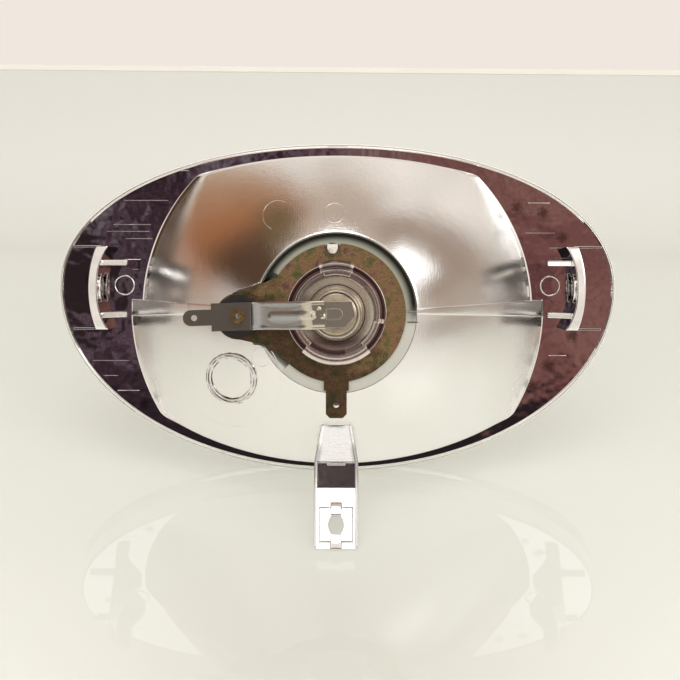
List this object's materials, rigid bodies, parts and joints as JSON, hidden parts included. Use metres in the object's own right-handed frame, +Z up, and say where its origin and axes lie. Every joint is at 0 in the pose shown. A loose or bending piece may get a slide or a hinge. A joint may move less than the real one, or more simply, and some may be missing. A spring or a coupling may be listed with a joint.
{
  "type": "scooter headlight",
  "caption": "Oval scooter headlight insert: glass lens, plated reflector with pivot lugs and adjuster arm, and a lift-out bulb holder with a sprung contact.",
  "frame": {"origin": "on the table, under the middle of the floor space that the standing lamp covers", "axes": "+Z up, +X to the right seen from behind, +Y the way the lamp looks; the bulb axis points forward and 22 degrees down"},
  "size_m": [0.178, 0.1003, 0.103],
  "materials": {
    "plated_plastic": "plastic moulding with bright vacuum plating all over",
    "lens_glass": "clear pressed glass",
    "sealant": "dark sealing bead",
    "bright_steel": "bright plated spring steel",
    "passivated_steel": "gold and olive passivated steel",
    "nickel_steel": "nickel-plated pressed steel",
    "contact_steel": "nickel-plated spring strip",
    "brass": "plain brass eyelet",
    "black_insulator": "black insulating board",
    "bulb_cap": "nickel-plated cap",
    "bulb_glass": "thin clear glass",
    "lead_wire": "bare wire"
  },
  "bodies": {
    "lamp": {"reflector": "plated_plastic", "bulb_seat": "plated_plastic", "pivot_lugs": "plated_plastic", "lens": "lens_glass", "lens_seal": "sealant", "adjuster_clip": "bright_steel"},
    "carrier": {"holder_plate": "passivated_steel", "socket_ring": "nickel_steel", "contact_insulator": "black_insulator", "insulating_washer": "black_insulator", "contact_terminal": "contact_steel", "contact_rivet": "brass"},
    "bulb": {"bulb_collar": "bulb_cap", "bulb_shell": "bulb_cap", "bulb_insulator": "black_insulator", "bulb_tip": "bulb_cap", "bulb_glass": "bulb_glass", "bulb_stem": "bulb_glass", "lead_wires": "lead_wire", "filament": "lead_wire"},
    "contact_arm": {"contact_spring": "contact_steel", "contact_tongue": "contact_steel", "tongue_rivet": "contact_steel"}
  },
  "joints": [
    {"name": "carrier_pull", "type": "slide", "parent": "lamp", "child": "carrier", "axis": [0, -0.9272, 0.3746], "range_m": [0, 0.06]},
    {"name": "bulb_twist", "type": "hinge", "parent": "carrier", "child": "bulb", "pos_m": [0, -0.01898, 0.06509], "axis": [0, -0.9272, 0.3746], "range_deg": [0, 25]},
    {"name": "contact_lift", "type": "hinge", "parent": "carrier", "child": "contact_arm", "pos_m": [-0.02518, -0.022, 0.06536], "axis": [0.0349, -0.3744, -0.9266], "range_deg": [0, 35], "stiffness_Nm_per_rad": 0.02, "springref_deg": -17.19}
  ]
}
